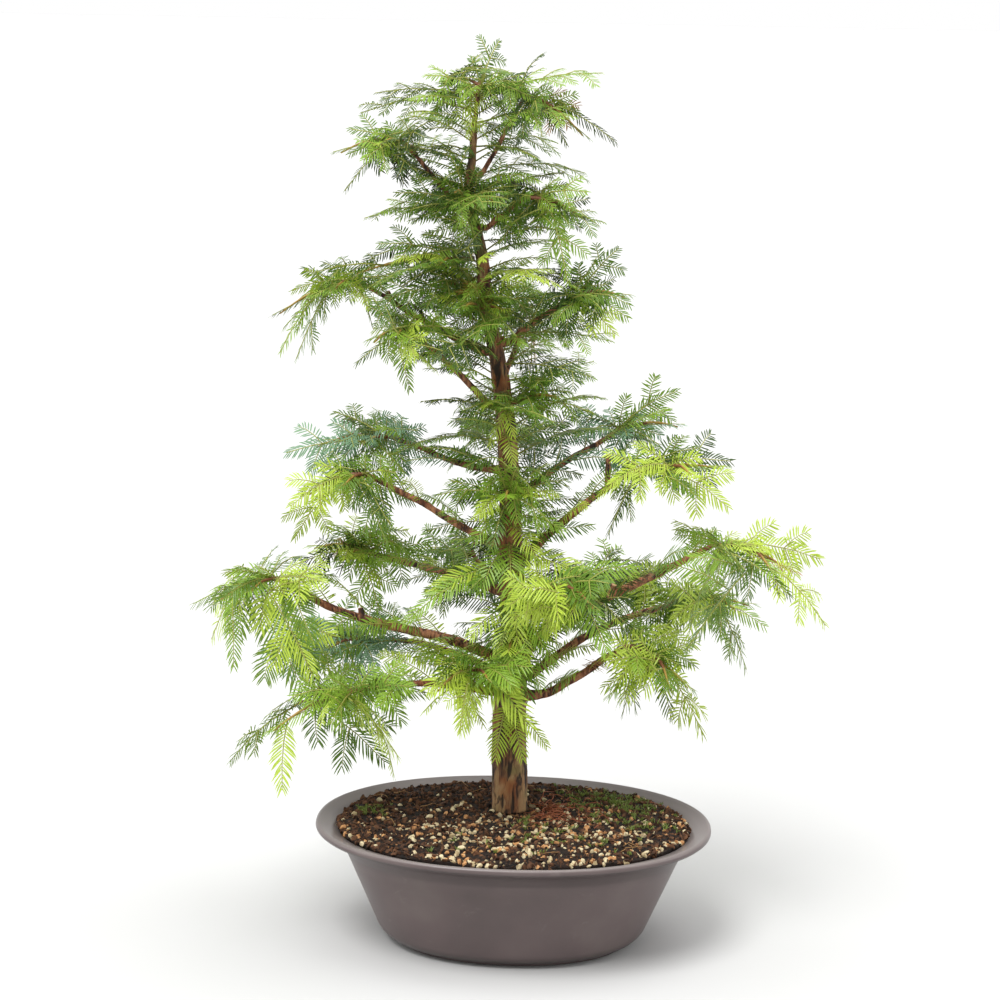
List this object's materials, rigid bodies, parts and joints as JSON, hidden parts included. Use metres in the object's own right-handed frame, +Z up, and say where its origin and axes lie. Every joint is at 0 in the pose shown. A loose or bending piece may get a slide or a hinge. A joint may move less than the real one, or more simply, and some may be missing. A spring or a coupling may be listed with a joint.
{
  "type": "dawn redwood bonsai in an oval pot",
  "caption": "Upright conical dawn redwood bonsai with feathery drooping sprays, in a shallow oval grey-brown training pot filled with granular soil.",
  "frame": {"origin": "centre of the pot's flat underside", "axes": "+Z up along the trunk, +X along the pot's length, +Y to the back of the tree"},
  "size_m": [0.6369, 0.4258, 0.9187],
  "materials": {
    "pot": "satin, faintly scuffed",
    "soil": "loose grains and bark",
    "trunk": "fissured bark",
    "bough": "smooth young bark",
    "foliage": "matte needles"
  },
  "bodies": {
    "root": {"bough_high_back": "bough", "bough_high_left": "bough", "bough_high_left_front": "bough", "bough_high_right": "bough", "bough_low_back": "bough", "bough_low_back_left": "bough", "bough_low_back_right": "bough", "bough_low_front_left": "bough", "bough_low_front_right": "bough", "bough_low_left": "bough", "bough_low_left_front": "bough", "bough_low_right": "bough", "bough_low_right_back": "bough", "bough_mid_left_back": "bough", "bough_mid_right": "bough", "bough_top_left": "bough", "bough_top_right": "bough", "bough_top_right_back": "bough", "bough_upper_back": "bough", "bough_upper_back_right": "bough", "bough_upper_left": "bough", "bough_upper_left_back": "bough", "bough_upper_right": "bough", "foliage_front": "foliage", "foliage_high_back": "foliage", "foliage_high_back_left": "foliage", "foliage_high_front": "foliage", "foliage_high_front_right": "foliage", "foliage_high_left": "foliage", "foliage_high_left_front": "foliage", "foliage_high_right": "foliage", "foliage_leader": "foliage", "foliage_low_back": "foliage", "foliage_low_back_left": "foliage", "foliage_low_back_right": "foliage", "foliage_low_front_left": "foliage", "foliage_low_front_right": "foliage", "foliage_low_left": "foliage", "foliage_low_left_front": "foliage", "foliage_low_right": "foliage", "foliage_low_right_back": "foliage", "foliage_mid_left_back": "foliage", "foliage_mid_right": "foliage", "foliage_top_back": "foliage", "foliage_top_front": "foliage", "foliage_top_left": "foliage", "foliage_top_left_low": "foliage", "foliage_top_right": "foliage", "foliage_top_right_back": "foliage", "foliage_upper_back": "foliage", "foliage_upper_back_right": "foliage", "foliage_upper_front": "foliage", "foliage_upper_left": "foliage", "foliage_upper_left_back": "foliage", "foliage_upper_right": "foliage", "pot": "pot", "soil": "soil", "trunk": "trunk"}
  },
  "joints": []
}
